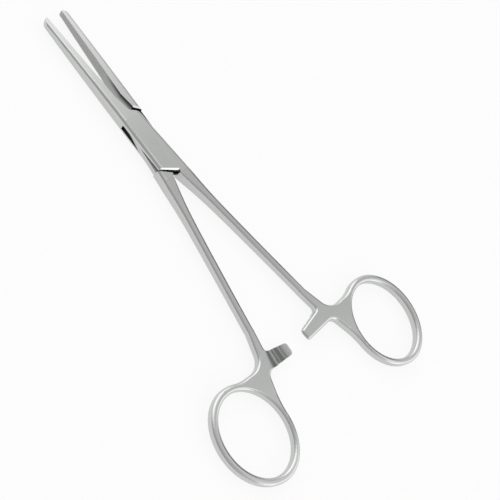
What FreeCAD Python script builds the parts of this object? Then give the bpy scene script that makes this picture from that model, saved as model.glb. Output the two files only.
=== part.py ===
"""Hemostat forceps with a box-lock, lying flat: two forged arms and the pin that joins them.

Frame: millimetres, +Z up. The origin is the foot of the pin's axis on the underside plane. +Y runs
along the instrument towards the jaw tips, and +X is on the right when the tips point away.
Both arms are worked out closed, with their jaw tips touching, and then turned apart about the pin.
"""
import FreeCAD, Part
import math
import os

from FreeCAD import Placement, Rotation, Vector

doc = FreeCAD.newDocument("hemostat_forceps")

# Driving dimensions: alias, value in millimetres or degrees, meaning
SIZES = [
    ("lock_height", 4.5, "height of the box-lock"),
    ("lock_half_width", 4.25, "half width of the closed instrument at the heel of the lock"),
    ("lock_half_length", 9.0, "from the pin to the end of the level part of the lock"),
    ("body_round", 1.1, "radius of the outer long edges at the lock"),
    ("jaw_reach", 45.5, "from the pin to the jaw tips"),
    ("jaw_tip_half_width", 1.75, "half width of the closed jaws at the tips"),
    ("jaw_tip_height", 2.3, "height of the jaws at the tips"),
    ("jaw_tip_round", 0.75, "radius of the outer long edges at the tips"),
    ("jaw_nose", 0.7, "length over which a jaw tip is rounded down"),
    ("jaw_tip_land", 0.3, "flat end of a jaw tip, next to the other jaw"),
    ("jaw_tip_taper", 3.4, "length over which a jaw tip is rounded off in plan"),
    ("jaw_preset", 0.22, "angle of a jaw face, which lets the tips meet first"),
    ("tip_gap", 0.08, "gap between the two jaw tips when closed"),
    ("jaw_face_end", 16.0, "from the pin to the root of the flat jaw faces"),
    ("notch_side", 0.6, "inner corner of the jaw-side notch, off the centre line"),
    ("notch_reach", 11.1, "inner corner of the jaw-side notch, from the pin"),
    ("notch_angle", 38.7, "slope of the plates' edge at the jaw-side notch"),
    ("front_wall_angle", 33.3, "slope of the slot's front wall"),
    ("heel_side", 1.1, "inner corner of the handle-side notch, off the centre line"),
    ("heel_reach", 10.7, "inner corner of the handle-side notch, from the pin"),
    ("heel_angle", 32.7, "slope of the plates' edge at the handle-side notch"),
    ("back_wall_angle", 39.5, "slope of the slot's back wall"),
    ("shoulder_gap", 0.5, "gap between the plates and the shoulder in front of them when closed"),
    ("heel_gap", 0.45, "gap between the plates and the shoulder behind them when closed"),
    ("edge_bevel", 0.42, "bevel on the edges of the plates and of the shoulder in front of them"),
    ("slot_height", 1.8, "height of the slot between the plates"),
    ("slot_gap", 0.05, "running gap above and below the neck"),
    ("pin_radius", 1.4, "radius of the pin"),
    ("pin_gap", 0.03, "running gap between the pin and the neck's bore"),
    ("rest_half_angle", 3.1, "turn of each arm from closed to the resting pose"),
    ("shank_start", 11.3, "from the pin to the start of the shanks"),
    ("shank_gap", 1.45, "gap between the shanks at their start"),
    ("shank_splay", 6.2, "angle between a shank and the centre line"),
    ("shank_end", 58.0, "from the pin to the end of the straight shanks"),
    ("shank_end_width", 2.2, "width of a shank at its end"),
    ("shank_inner_round", 0.3, "radius of the inner long edges at the start of the shanks"),
    ("neck_straight", 0.5, "length of the straight neck between a shank and its web"),
    ("web_behind_shank", 10.1, "from the end of the straight shanks to the web's upper edge"),
    ("web_outer_out", 3.64, "outer side of the shank at the web, outward of the shank's end"),
    ("web_corner_out", 2.44, "corner of the web and the bar's lower edge, outward of the shank's end"),
    ("web_foot_depth", 0.55, "how deep the web's inner side runs into the ring, level with its centre"),
    ("web_outer_round", 4.5, "radius between the shank's outer side and the web"),
    ("web_ring_round", 12.0, "radius between the web's upper edge and the ring"),
    ("web_bar_round", 2.5, "radius between the web's inner side and the bar's lower edge"),
    ("web_foot_round", 28.0, "radius between the web's inner side and the ring"),
    ("ring_inner_out", 4.74, "nearest side of a finger ring, outward of the shank's end"),
    ("ring_rise", 1.3, "how far a ring reaches in front of the web's upper edge"),
    ("ring_half_length", 14.6, "half length of a ring"),
    ("ring_half_width", 11.5, "half width of a ring"),
    ("ring_lean", 4.3, "angle between a ring's long axis and the centre line"),
    ("ring_wire", 2.2, "width of the ring wire at the ring's ends"),
    ("ring_side_wire", 1.88, "mean width of the ring wire at the ring's sides"),
    ("ring_hole_shift", 0.22, "how far a ring's hole lies towards the centre line, off its outline"),
    ("ring_height", 3.0, "height of the rings and of the shanks' ends"),
    ("ring_round", 0.9, "radius of the edges of rings, webs and ratchet bars"),
    ("bar_root_in", 0.16, "inner side of the shank at the ratchet bar, inward of the shank's end"),
    ("bar_root_ahead", 2.7, "from the web's upper edge forward to the bar's upper edge at its root"),
    ("bar_slant", 1.4, "how far the bar's upper edge falls back from its root to its tip"),
    ("bar_tip_width", 3.6, "width of a ratchet bar at its tip"),
    ("bar_root_round", 1.2, "radius between the shank and the ratchet bar"),
    ("bar_tip_round", 1.0, "radius of the ratchet bar's corners"),
    ("upper_bar_past", 1.3, "how far the upper ratchet bar reaches past the centre line when closed"),
    ("lower_bar_past", 0.75, "how far the lower ratchet bar reaches past the centre line when closed"),
    ("tooth_count", 2, "ratchet teeth on each bar, in front of its run-out"),
    ("tooth_pitch", 2.4, "from one ratchet tooth to the next"),
    ("tooth_first", 2.8, "from a bar's tip to its first tooth"),
    ("tooth_depth", 0.58, "height of a ratchet tooth"),
    ("tooth_back", 0.25, "length of a ratchet tooth's steep side"),
    ("tooth_gap", 0.1, "gap between the crests of the two bars"),
    ("run_out_upper", 0.5, "start of the bar's run-out at its upper end, outward of the bar's root"),
    ("run_out_lower", 3.0, "start of the bar's run-out at its lower end, outward of the bar's root"),
    ("serration_length", 21.0, "serrated length of each jaw"),
    ("serration_pitch", 0.6, "from one jaw serration to the next"),
    ("serration_depth", 0.17, "depth of a jaw serration"),
]

sheet = doc.addObject("Spreadsheet::Sheet", "sizes")
for row, (alias, value, meaning) in enumerate(SIZES, start=1):
    sheet.set(f"A{row}", meaning)
    sheet.set(f"B{row}", str(value))
    sheet.setAlias(f"B{row}", alias)
doc.recompute()


def size(alias):
    return float(getattr(sheet, alias))


def tangent(alias):
    return math.tan(math.radians(size(alias)))


MIDDLE = size("lock_height") / 2
OUTSIDE = 2 * size("lock_half_width")
# Points nearer than this are one point
PRECISION = 1e-4
JAW_STATIONS = 9
TIP_POINTS = 7
# The end of a jaw is this part of an ellipse's turn in plan, so that it comes to a soft point
TIP_TURN = math.radians(62)
# Width of a serration in its pitch, and height of its cutter above the jaw face in its depth
SERRATION_SHARE = 0.84
SERRATION_RISE = 0.15
# Edge radius of the handles in half of their narrowest wire, which leaves a thin flat on it
FLAT_SHARE = 0.97
# Slope at which a ratchet bar's run-out leaves the web's face
RUN_OUT_CREASE = math.radians(5)
SHANK_STATIONS = 13
# How fast the jaws lose height, and the shanks width, height and sharp inner edges, along their length
JAW_HEIGHT_POWER = 1.5
SHANK_WIDTH_POWER = 12
SHANK_HEIGHT_POWER = 2
SHANK_ROUND_POWER = 8


def feature(name, shape):
    """A document object that holds a shape worked out from the sheet."""
    item = doc.addObject("Part::Feature", name)
    item.Shape = shape
    return item


def joined(name, kind, pieces):
    """A boolean of several document objects."""
    item = doc.addObject(kind, name)
    item.Shapes = pieces
    return item


def cut(name, base, tool):
    item = doc.addObject("Part::Cut", name)
    item.Base = base
    item.Tool = tool
    return item


def polygon_face(points, level=0.0):
    corners = [Vector(x, y, level) for x, y in points]
    return Part.Face(Part.makePolygon(corners + corners[:1]))


def prism(name, points, bottom, height):
    """An upright prism whose height follows an expression on the sheet."""
    item = doc.addObject("Part::Extrusion", name)
    item.Base = feature(name + "_plan", polygon_face(points, bottom))
    item.DirMode = "Custom"
    item.Dir = Vector(0, 0, 1)
    item.Solid = True
    item.setExpression("LengthFwd", height)
    return item


def rounded_section(along, x_left, x_right, height, round_left, round_right):
    """A rounded rectangle across the instrument, centred on the middle level."""
    top = MIDDLE + height / 2
    bottom = MIDDLE - height / 2
    diagonal = math.sqrt(0.5)

    def corner(x, z, radius, x_sign, z_sign, x_first):
        centre = Vector(x - x_sign * radius, along, z - z_sign * radius)
        side = centre + Vector(x_sign * radius, 0, 0)
        flat = centre + Vector(0, 0, z_sign * radius)
        middle = centre + Vector(x_sign * radius * diagonal, 0, z_sign * radius * diagonal)
        first, last = (side, flat) if x_first else (flat, side)
        return first, Part.Arc(first, middle, last).toShape(), last

    corners = [
        corner(x_right, bottom, round_right, 1, -1, False),
        corner(x_right, top, round_right, 1, 1, True),
        corner(x_left, top, round_left, -1, 1, False),
        corner(x_left, bottom, round_left, -1, -1, True),
    ]
    edges = []
    for number, (first, arc, last) in enumerate(corners):
        following = corners[(number + 1) % len(corners)][0]
        edges.append(arc)
        edges.append(Part.LineSegment(last, following).toShape())
    return Part.Wire(edges)


# Outer form of the closed jaws and lock

def half_width(along):
    """Half width of the closed instrument, a straight taper from the heel of the lock to the tips."""
    heel = -size("shank_start")
    share = (along - heel) / (size("jaw_reach") - heel)
    return size("lock_half_width") + (size("jaw_tip_half_width") - size("lock_half_width")) * share


def jaw_share(along):
    return (along - size("lock_half_length")) / (size("jaw_reach") - size("lock_half_length"))


def jaw_height(along):
    """Level over the lock, then falling ever faster towards the tips."""
    fall = size("lock_height") - size("jaw_tip_height")
    return size("lock_height") - fall * max(jaw_share(along), 0) ** JAW_HEIGHT_POWER


def jaw_round(along):
    share = max(jaw_share(along), 0)
    return size("body_round") + (size("jaw_tip_round") - size("body_round")) * share


def closed_section(along):
    width = half_width(along)
    radius = jaw_round(along)
    return rounded_section(along, -width, width, jaw_height(along), radius, radius)


lock_form = Part.makeLoft(
    [closed_section(-size("shank_start")), closed_section(size("lock_half_length"))], True, True)
jaw_step = (size("jaw_reach") - size("lock_half_length")) / (JAW_STATIONS - 1)
jaw_form = Part.makeLoft(
    [closed_section(size("lock_half_length") + jaw_step * number) for number in range(JAW_STATIONS)],
    True, False)
nose_start = size("jaw_reach") - size("jaw_nose")
nose_half_height = jaw_height(nose_start) / 2
if nose_half_height >= size("jaw_nose"):
    nose_curve = Part.Ellipse(
        Vector(-OUTSIDE, nose_start, MIDDLE + nose_half_height),
        Vector(-OUTSIDE, nose_start + size("jaw_nose"), MIDDLE),
        Vector(-OUTSIDE, nose_start, MIDDLE))
else:
    nose_curve = Part.Ellipse(
        Vector(-OUTSIDE, nose_start + size("jaw_nose"), MIDDLE),
        Vector(-OUTSIDE, nose_start, MIDDLE + nose_half_height),
        Vector(-OUTSIDE, nose_start, MIDDLE))
nose_span = Vector(2 * OUTSIDE, 0, 0)
nose_form = Part.Face(Part.Wire(nose_curve.toShape())).extrude(nose_span)
behind_nose = Part.makeBox(
    2 * OUTSIDE, size("shank_start") + nose_start, 2 * size("lock_height"),
    Vector(-OUTSIDE, -size("shank_start"), MIDDLE - size("lock_height")))
closed_form = feature(
    "closed_form", lock_form.fuse(jaw_form).removeSplitter().common(behind_nose.fuse(nose_form)))


# Plan of each arm in the lock and the jaws

def jaw_face(along):
    """Distance of a jaw face from the centre line when closed."""
    return size("tip_gap") / 2 + (size("jaw_reach") - along) * tangent("jaw_preset")


def tip_outline(side):
    """Rounded end of one jaw, from its face round to its outer side. side is 1 on the right."""
    taper = size("jaw_tip_taper")
    outer = half_width(size("jaw_reach") - taper)
    across = (outer - size("jaw_tip_land")) / (1 - math.cos(TIP_TURN))
    along = taper / math.sin(TIP_TURN)
    centre = Vector(side * (outer - across), size("jaw_reach") - taper, 0)
    points = []
    for number in range(TIP_POINTS):
        turn = TIP_TURN * (1 - number / (TIP_POINTS - 1))
        points.append(centre + Vector(side * across * math.cos(turn), along * math.sin(turn), 0))
    curve = Part.BSplineCurve()
    curve.interpolate(points)
    return curve, points[0], points[-1]


def plan_face(side, inner_points):
    """Face between a jaw's own outline and the given points, which start at the jaw's outer side."""
    curve, start, end = tip_outline(side)
    face_tip = Vector(side * jaw_face(size("jaw_reach") - size("jaw_tip_land")),
                      size("jaw_reach") - size("jaw_tip_land"), 0)
    path = [end, Vector(side * OUTSIDE, end.y, 0)]
    path += [Vector(x, y, 0) for x, y in inner_points]
    path += [face_tip, start]
    face = Part.Face(Part.Wire([Part.makePolygon(path), curve.toShape()]))
    face.translate(Vector(0, 0, -size("lock_height") / 2))
    return face


def plan_prism(name, face):
    item = doc.addObject("Part::Extrusion", name)
    item.Base = feature(name + "_plan", face)
    item.DirMode = "Custom"
    item.Dir = Vector(0, 0, 1)
    item.Solid = True
    item.setExpression("LengthFwd", "sizes.lock_height * 2")
    return item


def on_line(point, slope, x):
    return x, point[1] + slope * (x - point[0])


notch = (size("notch_side"), size("notch_reach"))
heel = (size("heel_side"), -size("heel_reach"))
face_root = (jaw_face(size("jaw_face_end")), size("jaw_face_end"))
shank_inner = size("shank_gap") / 2
shoulder_gap = size("shoulder_gap")
# The same corners moved off the plates and walls by the running gap
notch_shoulder = (notch[0], notch[1] + shoulder_gap / math.cos(math.radians(size("notch_angle"))))
heel_shoulder = (heel[0], heel[1] - size("heel_gap") / math.cos(math.radians(size("heel_angle"))))
front_neck = (notch[0], notch[1] - shoulder_gap / math.cos(math.radians(size("front_wall_angle"))))
back_neck = (heel[0], heel[1] + shoulder_gap / math.cos(math.radians(size("back_wall_angle"))))

female_plan = plan_prism("female_plan", plan_face(-1, [
    on_line(heel, -tangent("heel_angle"), -OUTSIDE),
    heel,
    (shank_inner, -size("shank_start")),
    (OUTSIDE, -size("shank_start")),
    on_line(notch, -tangent("notch_angle"), OUTSIDE),
    notch,
    (-face_root[0], face_root[1]),
]))
male_root = (notch_shoulder[0] + shoulder_gap, notch_shoulder[1] - shoulder_gap * tangent("notch_angle"))
male_jaw_plan = plan_prism("male_jaw_plan", plan_face(1, [
    on_line(notch_shoulder, -tangent("notch_angle"), OUTSIDE),
    male_root,
    face_root,
]))
male_heel_plan = plan_prism("male_heel_plan", polygon_face([
    (-shank_inner, -size("shank_start")),
    on_line(heel_shoulder, -tangent("heel_angle"), shank_inner - heel[0]),
    on_line(heel_shoulder, -tangent("heel_angle"), -OUTSIDE),
    (-OUTSIDE, -size("shank_start")),
], -size("lock_height") / 2))


def strip(front, back):
    """Corners of the strip across the lock between the slot's front and back walls."""
    return [
        on_line(front, tangent("front_wall_angle"), -OUTSIDE),
        on_line(front, tangent("front_wall_angle"), OUTSIDE),
        on_line(back, tangent("back_wall_angle"), OUTSIDE),
        on_line(back, tangent("back_wall_angle"), -OUTSIDE),
    ]


slot_bottom = MIDDLE - size("slot_height") / 2
slot = prism("slot", strip(notch, heel), slot_bottom, "sizes.slot_height")
neck_strip = prism("neck_strip", strip(front_neck, back_neck), slot_bottom + size("slot_gap"),
                   "sizes.slot_height - 2 * sizes.slot_gap")


def bevel_wedges(name, start, end):
    """Cutters for the two outer edges of an upright wall, which has its solid on the line's left."""
    along = Vector(end[0] - start[0], end[1] - start[1], 0)
    outward = Vector(along.y, -along.x, 0)
    outward.normalize()
    depth = size("edge_bevel")
    base = Vector(start[0], start[1], 0)
    wedges = []
    for direction in (1, -1):
        face_level = MIDDLE + direction * MIDDLE
        outline = []
        for aside, upward in ((-depth, 0), (-depth, depth), (depth, depth), (depth, -2 * depth)):
            outline.append(base + outward * aside + Vector(0, 0, face_level + direction * upward))
        wedges.append(Part.Face(Part.makePolygon(outline + outline[:1])).extrude(along))
    return feature(name, Part.makeCompound(wedges))


# Shanks

def shank_section(number):
    """Section of the right shank; number counts from the lock."""
    share = number / (SHANK_STATIONS - 1)
    left = 1 - share
    along = -size("shank_start") - share * (size("shank_end") - size("shank_start"))
    start_out = half_width(-size("shank_start"))
    start_centre = (start_out + shank_inner) / 2
    start_width = start_out - shank_inner
    centre = start_centre + (-size("shank_start") - along) * tangent("shank_splay")
    end_width = size("shank_end_width")
    width = end_width + (start_width - end_width) * left ** SHANK_WIDTH_POWER * (
        1 + SHANK_WIDTH_POWER * share)
    end_height = size("ring_height")
    height = end_height + (size("lock_height") - end_height) * left ** SHANK_HEIGHT_POWER
    end_round = handle_round()
    inner_round = end_round - (end_round - size("shank_inner_round")) * left ** SHANK_ROUND_POWER
    outer_round = end_round - (end_round - size("body_round")) * left
    return rounded_section(along, centre - width / 2, centre + width / 2, height, inner_round, outer_round)


def handle_round():
    """Edge radius of rings and shank ends."""
    narrowest = min(size("ring_wire"), size("ring_side_wire") - size("ring_hole_shift"),
                    size("shank_end_width"))
    return min(size("ring_round"), FLAT_SHARE * narrowest / 2)


def shank_end_centre():
    start_centre = (half_width(-size("shank_start")) + shank_inner) / 2
    return start_centre + (size("shank_end") - size("shank_start")) * tangent("shank_splay")


shank_form = Part.makeLoft([shank_section(number) for number in range(SHANK_STATIONS)], True, False)


# Finger rings with their webs and ratchet bars. Their places follow the end of the straight shanks.

web_back = size("shank_end") + size("web_behind_shank")
web_outer = shank_end_centre() + size("web_outer_out")
web_corner = shank_end_centre() + size("web_corner_out")
ring_inner = shank_end_centre() + size("ring_inner_out")
ring_out = ring_inner + size("ring_half_width")
ring_back = web_back - size("ring_rise") + size("ring_half_length")
bar_root = shank_end_centre() - size("bar_root_in")
bar_root_back = web_back - size("bar_root_ahead")
bar_tip_back = bar_root_back + size("bar_slant")
bar_back = bar_tip_back + size("bar_tip_width")


def ring_disc(end_inset, side_inset, shift):
    """Upright elliptical disc at the right ring's place, smaller than the ring by the insets."""
    lean = math.radians(size("ring_lean"))
    long_way = Vector(math.sin(lean), math.cos(lean), 0)
    short_way = Vector(math.cos(lean), -math.sin(lean), 0)
    centre = Vector(ring_out - shift, -ring_back, MIDDLE - size("ring_height") / 2)
    outline = Part.Ellipse(centre + long_way * (size("ring_half_length") - end_inset),
                           centre + short_way * (size("ring_half_width") - side_inset), centre)
    return Part.Face(Part.Wire(outline.toShape())).extrude(Vector(0, 0, size("ring_height")))


def upright_edges(solid):
    found = []
    for edge in solid.Edges:
        start, end = edge.Vertexes[0].Point, edge.Vertexes[-1].Point
        across = math.hypot(end.x - start.x, end.y - start.y)
        if across < PRECISION and abs(end.z - start.z) > PRECISION:
            found.append(edge)
    return found


def round_upright(solid, x, y, radius):
    """Rounds the upright edge nearest to a point of the plan."""
    nearest = min(upright_edges(solid),
                  key=lambda edge: math.hypot(edge.Vertexes[0].X - x, edge.Vertexes[0].Y - y))
    return solid.makeFillet(radius, [nearest])


def ring_meets(back):
    """Where a line across the instrument meets the left side of the right ring's outer edge."""
    lean = math.radians(size("ring_lean"))
    half_length = size("ring_half_length")
    half_wide = size("ring_half_width")
    rise = ring_back - back
    sine, cosine = math.sin(lean), math.cos(lean)
    # The ellipse's equation on this line is a quadratic in the distance from the centre
    second = (sine / half_length) ** 2 + (cosine / half_wide) ** 2
    first = 2 * rise * sine * cosine * (1 / half_length ** 2 - 1 / half_wide ** 2)
    constant = (rise * cosine / half_length) ** 2 + (rise * sine / half_wide) ** 2 - 1
    root = math.sqrt(first ** 2 - 4 * second * constant)
    return ring_out + (-first - root) / (2 * second)


def ring_slope(x, back):
    """Angle in degrees between the ring's outer edge at a point of it and the line across."""
    lean = math.radians(size("ring_lean"))
    long_way = Vector(math.sin(lean), math.cos(lean), 0)
    short_way = Vector(math.cos(lean), -math.sin(lean), 0)
    place = Vector(x - ring_out, ring_back - back, 0)
    outward = (long_way * (place.dot(long_way) / size("ring_half_length") ** 2)
               + short_way * (place.dot(short_way) / size("ring_half_width") ** 2))
    return math.degrees(math.atan2(-outward.x, outward.y))


def fitting_round(radius, wall, opening):
    """Radius of a hollow corner of this opening in degrees, as far as the wall beside it has room."""
    return min(radius, wall * math.tan(math.radians(opening / 2)))


def handle_form(bar_past):
    """Right ring, web and ratchet bar as one plate with rounded edges."""
    centre = shank_end_centre()
    half = size("shank_end_width") / 2
    bottom = MIDDLE - size("ring_height") / 2
    neck_end = size("shank_end") + size("neck_straight")
    foot = ring_inner + size("web_foot_depth")
    plan = polygon_face([
        (centre + half, -size("shank_end")),
        (centre + half, -neck_end),
        (web_outer, -web_back),
        (ring_out, -web_back),
        (ring_out, -ring_back),
        (foot, -ring_back),
        (web_corner, -bar_back),
        (-bar_past, -bar_back),
        (-bar_past, -bar_tip_back),
        (bar_root, -bar_root_back),
        (centre - half, -neck_end),
        (centre - half, -size("shank_end")),
    ], bottom)
    plate = plan.extrude(Vector(0, 0, size("ring_height")))
    plate = plate.fuse(ring_disc(0, 0, 0))
    plate = plate.removeSplitter()
    # The two hollow corners of the web's upper edge share its length
    ring_corner = ring_meets(web_back)
    upper_wall = (ring_corner - web_outer) / 2
    neck_opening = 90 + math.degrees(math.atan2(web_outer - centre - half, web_back - neck_end))
    ring_opening = 180 - ring_slope(ring_corner, web_back)
    plate = round_upright(plate, web_outer, -web_back,
                          fitting_round(size("web_outer_round"), upper_wall, neck_opening))
    plate = round_upright(plate, ring_corner, -web_back,
                          fitting_round(size("web_ring_round"), upper_wall, ring_opening))
    plate = round_upright(plate, foot, -ring_back, size("web_foot_round"))
    plate = round_upright(plate, web_corner, -bar_back, size("web_bar_round"))
    plate = round_upright(plate, bar_root, -bar_root_back, size("bar_root_round"))
    plate = round_upright(plate, -bar_past, -bar_back, size("bar_tip_round"))
    plate = round_upright(plate, -bar_past, -bar_tip_back, size("bar_tip_round"))
    plate = plate.cut(ring_disc(size("ring_wire"), size("ring_side_wire"), size("ring_hole_shift")))
    levels = (bottom, bottom + size("ring_height"))
    rim = []
    for edge in plate.Edges:
        heights = [vertex.Z for vertex in edge.Vertexes]
        level = any(all(abs(height - limit) < PRECISION for height in heights) for limit in levels)
        at_shank = all(abs(vertex.Y + size("shank_end")) < PRECISION for vertex in edge.Vertexes)
        if level and not at_shank:
            rim.append(edge)
    return plate.makeFillet(handle_round(), rim)


def tooth_cutters(bar_past, upper):
    """They remove half of a right-hand bar and leave teeth whose steep sides face the shank."""
    sign = 1 if upper else -1
    crest = MIDDLE + sign * size("tooth_gap") / 2
    valley = crest + sign * size("tooth_depth")
    far = MIDDLE - sign * size("lock_height")
    tip = -bar_past
    outline = [(tip - size("tooth_pitch"), far), (tip - size("tooth_pitch"), valley)]
    foot = tip - size("tooth_pitch") + size("tooth_first")
    for number in range(int(size("tooth_count"))):
        place = tip + size("tooth_first") + number * size("tooth_pitch") - size("tooth_back")
        outline.append((foot, valley))
        outline.append((place, crest))
        foot = place + size("tooth_back")
    outline.append((foot, valley))
    outline.append((foot, far))
    points = [Vector(x, 0, z) for x, z in outline]
    cleaned = [point for number, point in enumerate(points)
               if number == 0 or (point - points[number - 1]).Length > PRECISION]
    face = Part.Face(Part.makePolygon(cleaned + cleaned[:1]))
    back = -bar_back - size("web_bar_round")
    front = -bar_root_back + size("bar_root_round")
    face.translate(Vector(0, back, 0))
    teeth = face.extrude(Vector(0, front - back, 0))
    face_level = MIDDLE - sign * size("ring_height") / 2
    run_out = Part.makeLoft([
        run_out_section(back, foot, bar_root + size("run_out_lower"), valley, face_level, far),
        run_out_section(front, foot, bar_root + size("run_out_upper"), valley, face_level, far),
    ], True, True)
    return [teeth, run_out]


def run_out_section(along, foot, start, valley, face_level, far):
    """Outline above the arc by which a bar's toothed side rises from the last tooth to the web's face."""
    drop = valley - face_level
    length = start - foot
    opening = 2 * math.atan2(abs(drop), length) - 2 * RUN_OUT_CREASE
    rise = math.tan(opening / 4) / 2
    low = Vector(foot, along, valley)
    high = Vector(start, along, face_level)
    bulge = (low + high) / 2 + Vector(-abs(drop) * rise, 0, -math.copysign(length, drop) * rise)
    return Part.Wire([
        Part.Arc(low, bulge, high).toShape(),
        Part.makeLine(high, Vector(start, along, far)),
        Part.makeLine(Vector(start, along, far), Vector(foot, along, far)),
        Part.makeLine(Vector(foot, along, far), low),
    ])


def toothed_handle(bar_past, upper):
    handle = handle_form(bar_past)
    for cutter in tooth_cutters(bar_past, upper):
        handle = handle.cut(cutter)
    return handle


def serration_cutter(side, shift):
    """Grooves across one jaw face. shift moves them along by a share of the pitch."""
    pitch = size("serration_pitch")
    count = int(size("serration_length") / pitch)
    # A groove's cutter starts a little above the jaw face, and the land between two grooves is left
    rise = SERRATION_RISE * size("serration_depth")
    half = SERRATION_SHARE * pitch / 2 * (1 + SERRATION_RISE)
    grooves = []
    for number in range(count):
        middle = size("jaw_reach") - size("jaw_tip_land") - (number + 1 + shift) * pitch
        points = [
            (side * (jaw_face(middle - half) - rise), middle - half),
            (side * (jaw_face(middle) + size("serration_depth")), middle),
            (side * (jaw_face(middle + half) - rise), middle + half),
        ]
        grooves.append(polygon_face(points).extrude(Vector(0, 0, size("lock_height"))))
    return Part.makeCompound(grooves)


def mirrored(shape):
    return shape.mirror(Vector(0, 0, 0), Vector(1, 0, 0))


def cylinder(name, radius):
    item = doc.addObject("Part::Cylinder", name)
    item.setExpression("Radius", radius)
    item.setExpression("Height", "sizes.lock_height")
    return item


# Female arm: left jaw, both plates of the lock, right shank, right ring, upper ratchet bar
female_front = joined("female_front", "Part::MultiCommon", [closed_form, female_plan])
female_serrations = feature("female_serrations", serration_cutter(-1, 0))
female_jaw = cut("female_jaw", female_front, female_serrations)
right_shank = feature("right_shank", shank_form)
right_handle = feature("right_handle", toothed_handle(size("upper_bar_past"), True))
female_blank = joined("female_blank", "Part::MultiFuse", [female_jaw, right_shank, right_handle])
female_cuts = joined("female_cuts", "Part::MultiFuse", [slot, cylinder("plate_bores", "sizes.pin_radius")])
heel_wedges = bevel_wedges("heel_wedges", on_line(heel, -tangent("heel_angle"), -OUTSIDE), heel)
female_bevelled = cut("female_bevelled", female_blank, heel_wedges)
female_arm = cut("female_arm", female_bevelled, female_cuts)

# Male arm: right jaw, thin neck through the slot, left shank, left ring, lower ratchet bar
male_front = joined("male_front", "Part::MultiCommon", [closed_form, male_jaw_plan])
male_serrations = feature("male_serrations", serration_cutter(1, 0.5))
male_jaw = cut("male_jaw", male_front, male_serrations)
male_heel = joined("male_heel", "Part::MultiCommon", [closed_form, male_heel_plan])
neck = joined("neck", "Part::MultiCommon", [closed_form, neck_strip])
left_shank = feature("left_shank", mirrored(shank_form))
left_handle = feature("left_handle", mirrored(toothed_handle(size("lower_bar_past"), False)))
shoulder_wedges = bevel_wedges("shoulder_wedges", male_root,
                               on_line(notch_shoulder, -tangent("notch_angle"), OUTSIDE))
male_jaw_bevelled = cut("male_jaw_bevelled", male_jaw, shoulder_wedges)
male_blank = joined("male_blank", "Part::MultiFuse",
                    [male_jaw_bevelled, male_heel, neck, left_shank, left_handle])
neck_bore = cylinder("neck_bore", "sizes.pin_radius + sizes.pin_gap")
male_arm = cut("male_arm", male_blank, neck_bore)

pivot_pin = cylinder("pivot_pin", "sizes.pin_radius")
doc.recompute()

female_arm.Placement = Placement(Vector(), Rotation(Vector(0, 0, 1), size("rest_half_angle")))
male_arm.Placement = Placement(Vector(), Rotation(Vector(0, 0, 1), -size("rest_half_angle")))
doc.recompute()

SUB_PARTS = [female_arm, male_arm, pivot_pin]
for item in SUB_PARTS:
    item.Label = item.Name

for item in doc.Objects:
    if "Invalid" in item.State or "Error" in item.State:
        raise RuntimeError(f"{item.Name} is {item.State}")
for item in SUB_PARTS:
    if item.Shape.isNull() or not item.Shape.isValid():
        raise RuntimeError(f"{item.Label} has no valid shape")
    if len(item.Shape.Solids) != 1:
        raise RuntimeError(f"{item.Label} has {len(item.Shape.Solids)} solids")

os.makedirs("parts", exist_ok=True)
for item in SUB_PARTS:
    item.Shape.exportStep(f"parts/{item.Label}.step")
    box = item.Shape.BoundBox
    print(f"{item.Label}: {item.Shape.Volume:.1f} mm3, x {box.XMin:.2f} to {box.XMax:.2f}, "
          f"y {box.YMin:.2f} to {box.YMax:.2f}, z {box.ZMin:.2f} to {box.ZMax:.2f}")
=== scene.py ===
# %% [markdown]
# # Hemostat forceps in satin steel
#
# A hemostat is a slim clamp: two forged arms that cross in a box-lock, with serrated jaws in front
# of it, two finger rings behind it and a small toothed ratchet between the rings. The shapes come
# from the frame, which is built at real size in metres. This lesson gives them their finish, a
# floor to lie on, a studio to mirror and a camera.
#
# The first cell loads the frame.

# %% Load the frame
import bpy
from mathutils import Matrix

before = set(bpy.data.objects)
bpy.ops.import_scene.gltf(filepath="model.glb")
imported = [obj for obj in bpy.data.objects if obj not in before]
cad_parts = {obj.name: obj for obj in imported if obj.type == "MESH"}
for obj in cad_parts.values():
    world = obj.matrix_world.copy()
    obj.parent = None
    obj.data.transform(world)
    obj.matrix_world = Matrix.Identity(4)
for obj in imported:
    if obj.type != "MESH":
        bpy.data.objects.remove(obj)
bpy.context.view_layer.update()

print("nodes:", sorted(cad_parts))

# %% Other modules
import math

import bpy
import numpy as np
from mathutils import Euler

MILLIMETRE = 0.001

# %% [markdown]
# ## Shader maths as plain expressions
#
# A finish is worked out at every point of a surface by a chain of nodes. Wiring them by hand hides
# what they compute, so a small class stands for one wire of the shader and overloads Python's
# operators: `0.3 + 0.1 * grain` then adds its Math nodes by itself. Every other kind of node comes
# from one method of the finish, which takes the node's type, its settings and what goes into it.

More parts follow.
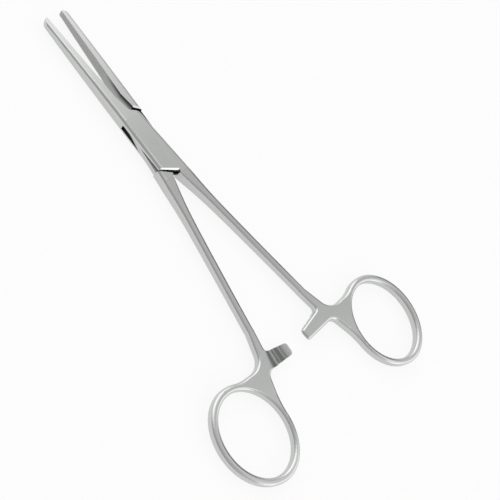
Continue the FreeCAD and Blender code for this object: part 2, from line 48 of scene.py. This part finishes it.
# %% A wire and a finish
class Wire:
    """One output of a shader node. An expression of wires and numbers adds its Math nodes."""

    def __init__(self, finish, socket):
        self.finish = finish
        self.socket = socket

    def math(self, operation, *values):
        return self.finish.node("ShaderNodeMath", {"operation": operation}, dict(enumerate(values)))

    def __add__(self, other):
        return self.math("ADD", self, other)

    def __radd__(self, other):
        return self.math("ADD", other, self)

    def __sub__(self, other):
        return self.math("SUBTRACT", self, other)

    def __rsub__(self, other):
        return self.math("SUBTRACT", other, self)

    def __mul__(self, other):
        return self.math("MULTIPLY", self, other)

    def __rmul__(self, other):
        return self.math("MULTIPLY", other, self)

    def larger(self, other):
        return self.math("MAXIMUM", self, other)

    def size(self):
        return self.math("ABSOLUTE", self)

    def below(self, limit):
        """1 where the wire is below the limit and 0 elsewhere."""
        return self.math("LESS_THAN", self, limit)

    def above(self, limit):
        """1 where the wire is above the limit and 0 elsewhere."""
        return self.math("GREATER_THAN", self, limit)

    def step(self, start, end):
        """0 below start, 1 above end and a smooth ramp between them."""
        span = {"Value": self, "From Min": start, "From Max": end}
        return self.finish.node("ShaderNodeMapRange", {"interpolation_type": "SMOOTHSTEP"}, span)


class Finish:
    """A node tree that is being written: a material's or the world's."""

    def __init__(self, tree):
        self.tree = tree
        self.tree.nodes.clear()

    def node(self, kind, settings=None, inputs=None, output=0):
        """Adds a node of this type: its settings first, then the values or wires of its sockets."""
        made = self.tree.nodes.new(kind)
        for name, value in (settings or {}).items():
            setattr(made, name, value)
        for name, value in (inputs or {}).items():
            if isinstance(value, Wire):
                self.tree.links.new(value.socket, made.inputs[name])
            else:
                made.inputs[name].default_value = value
        if len(made.outputs) == 0:
            return made
        return Wire(self, made.outputs[output])

    def split(self, vector):
        """The three components of a vector, as three wires."""
        parts = self.node("ShaderNodeSeparateXYZ", {}, {"Vector": vector}).socket.node
        return [Wire(self, parts.outputs[axis]) for axis in range(3)]

    def blend(self, share, first, second):
        """The colour first where share is 0 and the colour second where it is 1."""
        made = self.node("ShaderNodeMix", {"data_type": "RGBA"}, {"Factor": share}).socket.node
        for name, value in (("A", first), ("B", second)):
            socket = [s for s in made.inputs if s.name == name and s.type == "RGBA"][0]
            if isinstance(value, Wire):
                self.tree.links.new(value.socket, socket)
            else:
                socket.default_value = (*value, 1)
        result = [s for s in made.outputs if s.type == "RGBA"][0]
        return Wire(self, result)


def new_material(name):
    """An empty material and the finish that writes it."""
    material = bpy.data.materials.new(name)
    material.use_nodes = True
    return material, Finish(material.node_tree)

# %% [markdown]
# ## Satin steel
#
# Instruments like this are forged from stainless steel and given a satin grey that doesn't glare. A
# satin face is a metal mirror with a broad blur, so it is Metallic 1 with a middle roughness. The
# blur isn't quite even: faint lines run along the arm, as grinding leaves them, over a fine grain.
# The bevels and roundings mirror more sharply than the flats in the photograph, as buffed edges do,
# so a face that leans between the flat and the upright gets less blur. The pin can't be made out in
# the photograph. It is taken to be ground flush with the lock's plates and carries the same lines.
#
# The slot, the neck in it, the walls of the two notches and the roots of the inner jaw faces look
# nearly black in the photograph, and the serrated faces are darker than the rest. These are places
# where shade falls, deep in the lock and between the jaws, and here that shade is painted into the
# colour: a near-black painted shade, lighter on the serrations. A mask finds the faces by their place
# and by the way they face. The end of the lower ratchet bar is paler than its teeth. It gets a rougher
# finish, as if the other bar had rubbed it; that is a guess which gives about the right tone.

# %% The painted shade inside the lock
LOCK_MIDDLE = 2.25 * MILLIMETRE
SLOT_HALF_HEIGHT = 0.95 * MILLIMETRE
LOCK_HALF_LENGTH = 12.0 * MILLIMETRE
LOCK_HALF_WIDTH = 4.6 * MILLIMETRE
JAW_ROOT, SERRATIONS_END = 11.0 * MILLIMETRE, 24.5 * MILLIMETRE
JAW_INNER_SIDE = 2.7 * MILLIMETRE
SHADE_FADE = 17.0 * MILLIMETRE
EDGE_SHADE_START, EDGE_SHADE_END = 0.9 * LOCK_MIDDLE, 1.9 * LOCK_MIDDLE
OPEN_SIDE = -2.4 * MILLIMETRE
UPRIGHT = 0.3
SIDEWAYS = 0.8
# Near-black colour painted where shade falls: in the lock's slot and notches and on the inner jaw
# faces.
PAINTED_SHADE_COLOUR = (0.05, 0.05, 0.05)
SHADE_IN_SERRATIONS, SHADE_AT_JAW_ROOT = 0.36, 0.95
SHADE_AT_OPEN_SIDE = 0.45


def painted_lock_shade(place, facing, lean):
    """How dark the painted shade is: 1 on a face inside the lock and 0 outside, from its place and the
    way it faces.

    facing is the x part of its normal and lean the size of the z part. A face inside the lock
    doesn't look to the side (facing below SIDEWAYS), and it either lies in the slot's height or
    stands upright (lean below UPRIGHT). Behind the pin the slot is open on the left, and the painted
    shade is lighter there. An inner jaw face looks towards the middle plane x = 0, which the rounded
    tips don't. There the painted shade is darkest at the root, along the upper edge, and lighter
    towards the serrations."""
    x, y, z = place
    near = y.size().below(LOCK_HALF_LENGTH) * x.size().below(LOCK_HALF_WIDTH)
    in_slot = (z - LOCK_MIDDLE).size().below(SLOT_HALF_HEIGHT)
    # The painted shade is lighter behind the pin, where the slot is open on the left.
    lighter_open_side = (1 - SHADE_AT_OPEN_SIDE) * x.below(OPEN_SIDE) * y.below(0.0)
    inside = in_slot.larger(lean.below(UPRIGHT))
    lock = near * facing.size().below(SIDEWAYS) * inside * (1 - lighter_open_side)
    inward = (x * facing).below(0.0) * facing.size().above(SIDEWAYS)
    jaw = y.above(JAW_ROOT) * x.size().below(JAW_INNER_SIDE) * lean.below(UPRIGHT) * inward
    root = y.step(SERRATIONS_END, SHADE_FADE) * z.step(EDGE_SHADE_START, EDGE_SHADE_END)
    jaw_shade_depth = SHADE_IN_SERRATIONS + (SHADE_AT_JAW_ROOT - SHADE_IN_SERRATIONS) * root
    return lock.larger(jaw_shade_depth * jaw)


# Prints the painted shade's colour and its reach.
print("painted shade colour", PAINTED_SHADE_COLOUR, "within", LOCK_HALF_LENGTH / MILLIMETRE, "mm of the pin")

# %% The scuffed end of the lower ratchet bar
SCUFF_INNER, SCUFF_OUTER = -6.5 * MILLIMETRE, -3.2 * MILLIMETRE
SCUFF_BACK, SCUFF_FRONT = -71.0 * MILLIMETRE, -65.0 * MILLIMETRE
SCUFF_BLUR = 0.35
SCUFF_START = 0.4


def scuff(place, up):
    """How rough the upper side of the lower bar's end is made, from 0 to 1.

    up is the z part of the normal. The scuff starts outward of the last tooth at SCUFF_START, rises
    smoothly towards 1 at the bar's end and is 0 on all the rest of the arms."""
    x, y, z = place
    rise = SCUFF_START + (1 - SCUFF_START) * x.step(SCUFF_INNER, SCUFF_OUTER)
    along = rise * x.above(SCUFF_INNER) * x.below(0.0)
    return along * y.above(SCUFF_BACK) * y.below(SCUFF_FRONT) * up.above(UPRIGHT)


print("scuffed from x =", SCUFF_INNER / MILLIMETRE, "to", SCUFF_OUTER / MILLIMETRE, "mm")

# %% The grain of the steel
ARM_COLOUR = (0.60, 0.61, 0.60)
PIN_COLOUR = (0.59, 0.60, 0.59)
CLOUD_TINT = 0.97
SATIN_BLUR = 0.25
LINES_ALONG_Y = (3000.0, 120.0, 3000.0)
GRAIN_SCALE, CLOUD_SCALE = 2600.0, 130.0
LINES_DETAIL, GRAIN_DETAIL = 3.0, 2.0
LINES_BLUR, GRAIN_BLUR, CLOUD_BLUR = 0.08, 0.04, 0.06
NOISE_MIDDLE = 0.5
BUFFED = 0.35
WALL_LEAN, ROUND_LEAN = 0.05, 0.4
BEVEL_LEAN, FLAT_LEAN = 0.95, 0.998
LINES_HEIGHT, GRAIN_HEIGHT = 0.6, 0.4
DENT_STRENGTH, DENT_DEPTH = 0.05, 0.02 * MILLIMETRE
grain_size, cloud_size = [1 / scale / MILLIMETRE for scale in (GRAIN_SCALE, CLOUD_SCALE)]
print("grain about", round(grain_size, 2), "mm, clouds about", round(cloud_size, 1), "mm")

# %% The satin finish of the arms
def noise(finish, place, scale, detail):
    """Smooth noise about NOISE_MIDDLE, with features of about 1 / scale of the place's units."""
    return finish.node("ShaderNodeTexNoise", {}, {"Vector": place, "Scale": scale, "Detail": detail})


def satin_steel(name, colour, blur, lines_along):
    """Metal with lines ground along one axis, a beaded grain, buffed roundings and painted shade
    inside the lock.

    lean = |z part of the surface's normal| is 1 on a flat and 0 on an upright wall.
    roughness = (blur + lines + grain + cloud) * (1 - buffing) + SCUFF_BLUR * scuff, where buffing is
    BUFFED on a rounding and falls to 0 towards both the flats and the walls.
    The colour goes from the steel's own to the painted shade colour by the mask of painted shade."""
    material, finish = new_material(name)
    place = finish.node("ShaderNodeTexCoord", output="Object")
    facing, _, up = finish.split(finish.node("ShaderNodeTexCoord", output="Normal"))
    lean = up.size()
    buffing = BUFFED * lean.step(WALL_LEAN, ROUND_LEAN) * (1 - lean.step(BEVEL_LEAN, FLAT_LEAN))
    stretch = finish.node("ShaderNodeMapping", {}, {"Vector": place, "Scale": lines_along})
    lines = noise(finish, stretch, 1.0, LINES_DETAIL)
    grain = noise(finish, place, GRAIN_SCALE, GRAIN_DETAIL)
    cloud = noise(finish, place, CLOUD_SCALE, GRAIN_DETAIL)
    uneven = LINES_BLUR * (lines - NOISE_MIDDLE) + GRAIN_BLUR * (grain - NOISE_MIDDLE)
    uneven = uneven + CLOUD_BLUR * (cloud - NOISE_MIDDLE)
    spot = finish.split(place)
    rough = (blur + uneven) * (1 - buffing) + SCUFF_BLUR * scuff(spot, up)
    clouded = finish.blend(cloud, [CLOUD_TINT * channel for channel in colour], colour)
    # Blends in the painted shade inside the lock and on the inner jaw faces.
    tint = finish.blend(painted_lock_shade(spot, facing, lean), clouded, PAINTED_SHADE_COLOUR)
    height = LINES_HEIGHT * lines + GRAIN_HEIGHT * grain
    dents = {"Strength": DENT_STRENGTH, "Distance": DENT_DEPTH, "Height": height}
    normal = finish.node("ShaderNodeBump", {}, dents)
    steel = {"Base Color": tint, "Metallic": 1.0, "Roughness": rough, "Normal": normal}
    shader = finish.node("ShaderNodeBsdfPrincipled", {}, steel)
    finish.node("ShaderNodeOutputMaterial", {}, {"Surface": shader})
    return material


arm_steel = satin_steel("satin_arm_steel", ARM_COLOUR, SATIN_BLUR, LINES_ALONG_Y)
pin_steel = satin_steel("ground_pin_steel", PIN_COLOUR, SATIN_BLUR, LINES_ALONG_Y)

for name, steel in (("female_arm", arm_steel), ("male_arm", arm_steel), ("pivot_pin", pin_steel)):
    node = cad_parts[name]
    for slot in node.material_slots:
        slot.material = steel
    print(name, "wears", steel.name)

# %% [markdown]
# ## The floor
#
# Instruments are photographed on a plain pale sheet. The floor's colour is what the camera and the
# steel see of it, so a mix sends an even white to camera and mirror rays and leaves a share of the
# real, shaded surface in it: the shadow under the shanks stays. The upright walls of the arms mirror
# the sheet beside them, so the sheet's white makes them paler than the lock's flat top.

# %% A pale floor
FLOOR_HALF_SIZE = 3.0
FLOOR_DROP = 0.00005
FLOOR_WHITE = (0.985, 0.985, 0.985)
EVEN_FOR_CAMERA = 0.88
EVEN_FOR_STEEL = 0.75


def floor_sheet(half_size, drop):
    """A square sheet: x = half * u, y = half * v and z = -drop for u and v from -1 to 1."""
    u, v = np.meshgrid(np.linspace(-1, 1, 2), np.linspace(-1, 1, 2))
    points = np.stack([half_size * u, half_size * v, np.full_like(u, -drop)], axis=-1)
    mesh = bpy.data.meshes.new("floor_sheet")
    mesh.from_pydata(points.reshape(-1, 3).tolist(), [], [(0, 1, 3, 2)])
    sheet = bpy.data.objects.new("floor_sheet", mesh)
    bpy.context.scene.collection.objects.link(sheet)
    return sheet


def floor_finish():
    """White paint, seen evenly by camera, mirror and glass rays apart from a share of shade."""
    material, finish = new_material("pale_floor")
    rays = finish.node("ShaderNodeLightPath").socket.node
    camera_ray, mirror_ray, glass_ray = [Wire(finish, rays.outputs[ray]) for ray in
                                         ("Is Camera Ray", "Is Glossy Ray", "Is Transmission Ray")]
    share = (EVEN_FOR_CAMERA * camera_ray).larger(EVEN_FOR_STEEL * mirror_ray.larger(glass_ray))
    paint = finish.node("ShaderNodeBsdfDiffuse", {}, {"Color": (*FLOOR_WHITE, 1)})
    even = finish.node("ShaderNodeEmission", {}, {"Color": (*FLOOR_WHITE, 1), "Strength": 1.0})
    mixed = finish.node("ShaderNodeMixShader", {}, {0: share, 1: paint, 2: even})
    finish.node("ShaderNodeOutputMaterial", {}, {"Surface": mixed})
    return material


floor = floor_sheet(FLOOR_HALF_SIZE, FLOOR_DROP)
floor.data.materials.append(floor_finish())
print("floor", 2 * FLOOR_HALF_SIZE, "m wide,", FLOOR_DROP, "m below the instrument")

# %% [markdown]
# ## The studio
#
# Satin metal has next to no colour of its own: it shows the room. The room here is a sky written as
# a function of direction, which is quick to render and easy to adjust. It has a grey ceiling, pale
# walls and three soft panels of light: a wide one beyond the jaw tips, one beyond the finger rings
# and a small low one that catches the bevel at the heel of the lock. A dark screen stands on either
# side of the instrument. They draw the thin dark line along the roundings and darken the ratchet's
# slopes. The places and strengths were found by comparing renders with the photograph.

# %% The room around the instrument
ROOM_CEILING = 0.62
ROOM_WALL = 0.90
WALL_TOP, CEILING_EDGE = 0.3, 0.8
SOFTNESS = 0.4
TIP_PANEL = {"azimuth": 75.0, "height": 47.0, "radius": 27.0}
RING_PANEL = {"azimuth": -62.0, "height": 41.8, "radius": 28.4}
HEEL_PANEL = {"azimuth": -102.0, "height": 20.0, "radius": 15.0}
TIP_GLOW, RING_GLOW, HEEL_GLOW = 0.95, 0.60, 0.80
LEFT_SCREEN = {"azimuth": 170.6, "height": 2.9, "radius": 43.0}
RIGHT_SCREEN = {"azimuth": -2.9, "height": 19.5, "radius": 16.5}
LEFT_SHADE, RIGHT_SHADE = 0.42, 0.77


def disc(finish, direction, azimuth, height, radius):
    """A round soft patch of the room: a smooth ramp of the cosine between the two directions.

    It is 0 outside the radius and 1 inside it, and the ramp takes the softness's share each way."""
    turn, rise = math.radians(azimuth), math.radians(height)
    middle = (math.cos(turn) * math.cos(rise), math.sin(turn) * math.cos(rise), math.sin(rise))
    settings = {"operation": "DOT_PRODUCT"}
    nearness = finish.node("ShaderNodeVectorMath", settings, {0: direction, 1: middle}, output="Value")
    outside = math.cos(math.radians(radius * (1 + SOFTNESS)))
    inside = math.cos(math.radians(radius * (1 - SOFTNESS)))
    return nearness.step(outside, inside)


def studio_room():
    """Radiance by direction: wall to ceiling by height, plus three panels, less two dark screens."""
    world = bpy.data.worlds.new("studio")
    bpy.context.scene.world = world
    world.use_nodes = True
    finish = Finish(world.node_tree)
    direction = finish.node("ShaderNodeTexCoord", output="Generated")
    height = finish.split(direction)[2]
    tone = ROOM_WALL + (ROOM_CEILING - ROOM_WALL) * height.step(WALL_TOP, CEILING_EDGE)
    for panel, glow in ((TIP_PANEL, TIP_GLOW), (RING_PANEL, RING_GLOW), (HEEL_PANEL, HEEL_GLOW)):
        tone = tone + glow * disc(finish, direction, **panel)
    for screen, shade in ((LEFT_SCREEN, LEFT_SHADE), (RIGHT_SCREEN, RIGHT_SHADE)):
        tone = tone * (1 - shade * disc(finish, direction, **screen))
    back = finish.node("ShaderNodeBackground", {}, {"Color": (1, 1, 1, 1), "Strength": tone})
    finish.node("ShaderNodeOutputWorld", {}, {"Surface": back})
    return world


studio_room()
print("panels", TIP_PANEL, RING_PANEL, HEEL_PANEL)
print("screens", LEFT_SCREEN, RIGHT_SCREEN)

# %% [markdown]
# ## The camera
#
# The instrument lies on the sheet and the camera looks down on it from the left, about 57 degrees
# above the floor, rolled so that the jaws point to the picture's upper left. A long lens keeps the
# far ring nearly as large as the near one.

# %% The camera
CAMERA_PLACE = (-0.148950, -0.043931, 0.237742)
CAMERA_TURN = (22.0389, -25.5949, -41.7541)
CAMERA_LENS = 72.0
CAMERA_SENSOR = 36.0

camera_data = bpy.data.cameras.new("camera")
camera_data.lens = CAMERA_LENS
camera_data.sensor_width = CAMERA_SENSOR
camera = bpy.data.objects.new("camera", camera_data)
camera.location = CAMERA_PLACE
camera.rotation_euler = Euler([math.radians(turn) for turn in CAMERA_TURN], "XYZ")
bpy.context.scene.collection.objects.link(camera)
bpy.context.scene.camera = camera
bpy.context.scene.view_settings.view_transform = "Standard"
print("camera", round(math.dist(CAMERA_PLACE, (0, 0, 0)), 3), "m from the pivot")
